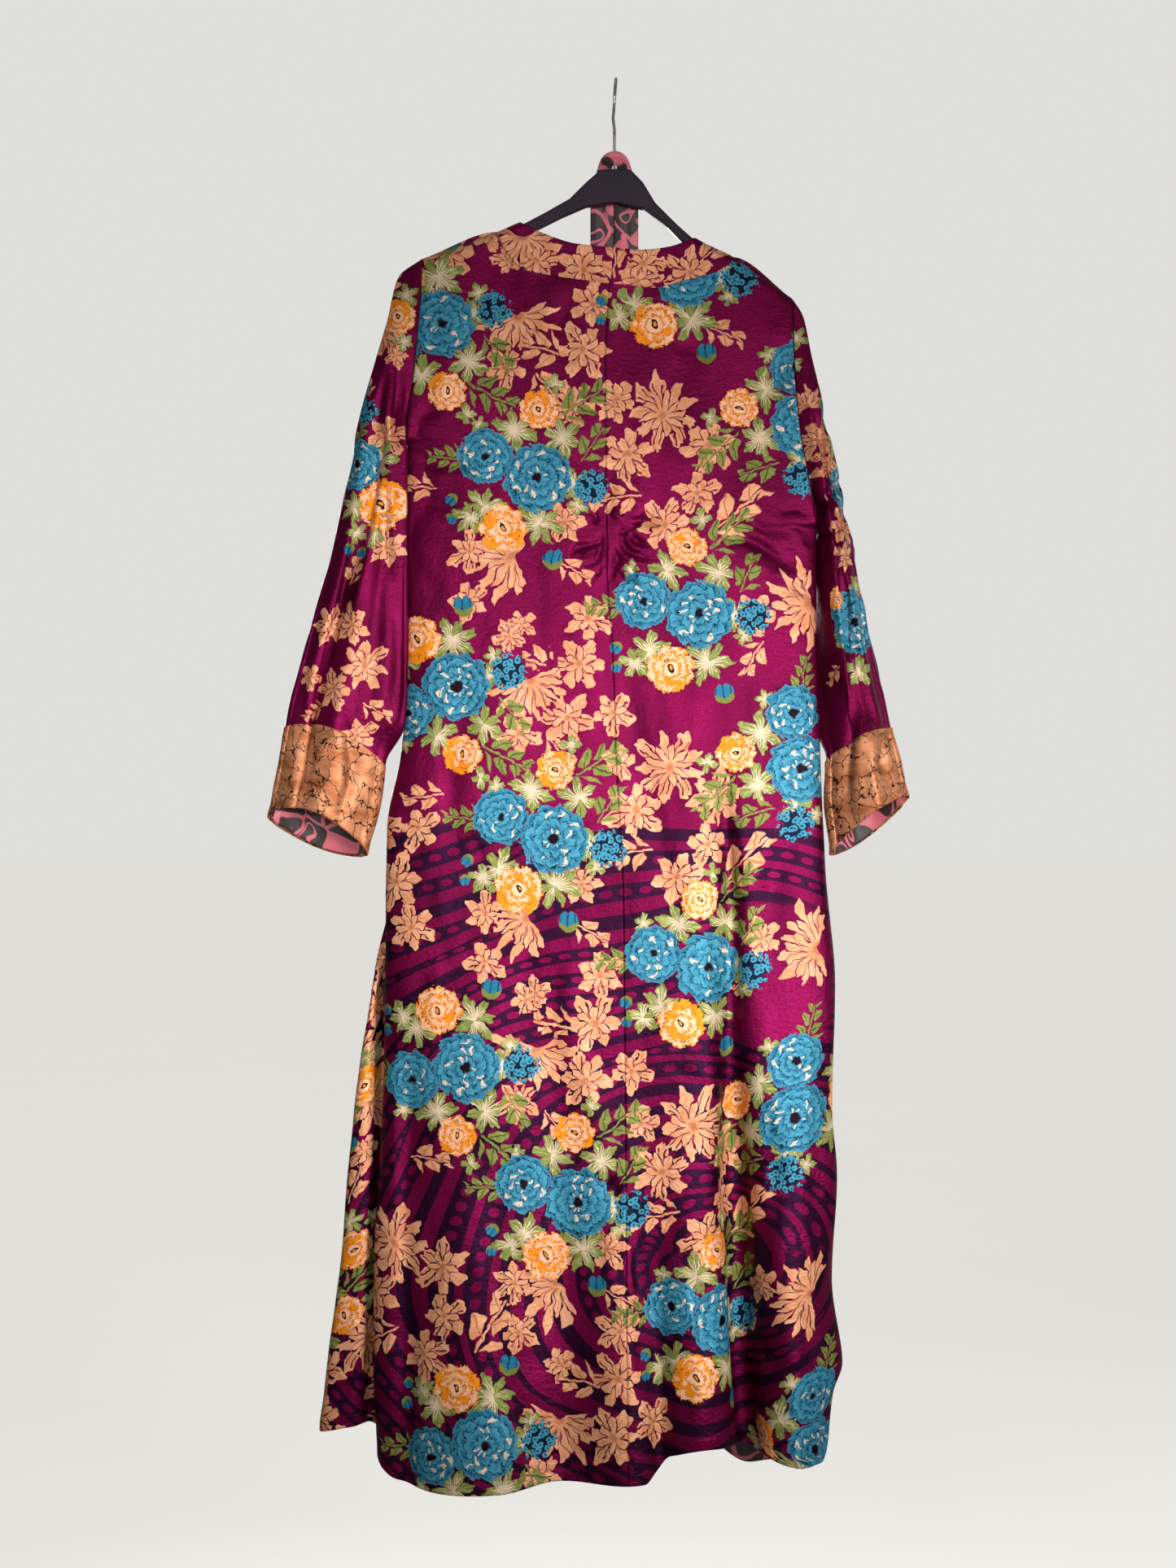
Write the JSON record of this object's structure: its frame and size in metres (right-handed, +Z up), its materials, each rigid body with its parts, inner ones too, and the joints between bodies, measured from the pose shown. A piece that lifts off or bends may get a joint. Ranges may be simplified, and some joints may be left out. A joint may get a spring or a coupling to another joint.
{
  "type": "kimono robe on a hanger",
  "caption": "Long open-front kimono robe with a neck band, wide sleeves and turned-back cuffs, hung on a moulded hanger with its belt looped round the wire hook",
  "frame": {"origin": "the inside top of the hook, where it bears on a rail", "axes": "+Z up, +Y towards the robe's open front, -Y towards its back, +X to the right as seen from its back"},
  "size_m": [0.6623, 0.118, 1.4429],
  "materials": {
    "satin_print": "plum satin with a floral print",
    "cuff_satin": "copper satin with fine dark lines",
    "lining_satin": "dusty pink satin with large dark brown shapes",
    "hanger_plastic": "matte aubergine black plastic",
    "hook_wire": "bare steel wire"
  },
  "bodies": {
    "root": {"back_left": "satin_print", "back_right": "satin_print", "front_left": "satin_print", "front_right": "satin_print", "band_back": "satin_print", "band_left": "satin_print", "band_right": "satin_print", "sleeve_left": "satin_print", "sleeve_right": "satin_print", "cuff_left": "cuff_satin", "cuff_right": "cuff_satin", "sleeve_lining_left": "lining_satin", "sleeve_lining_right": "lining_satin", "hem_lining": "lining_satin", "belt": "lining_satin", "hanger": "hanger_plastic", "hook": "hook_wire"}
  },
  "joints": []
}
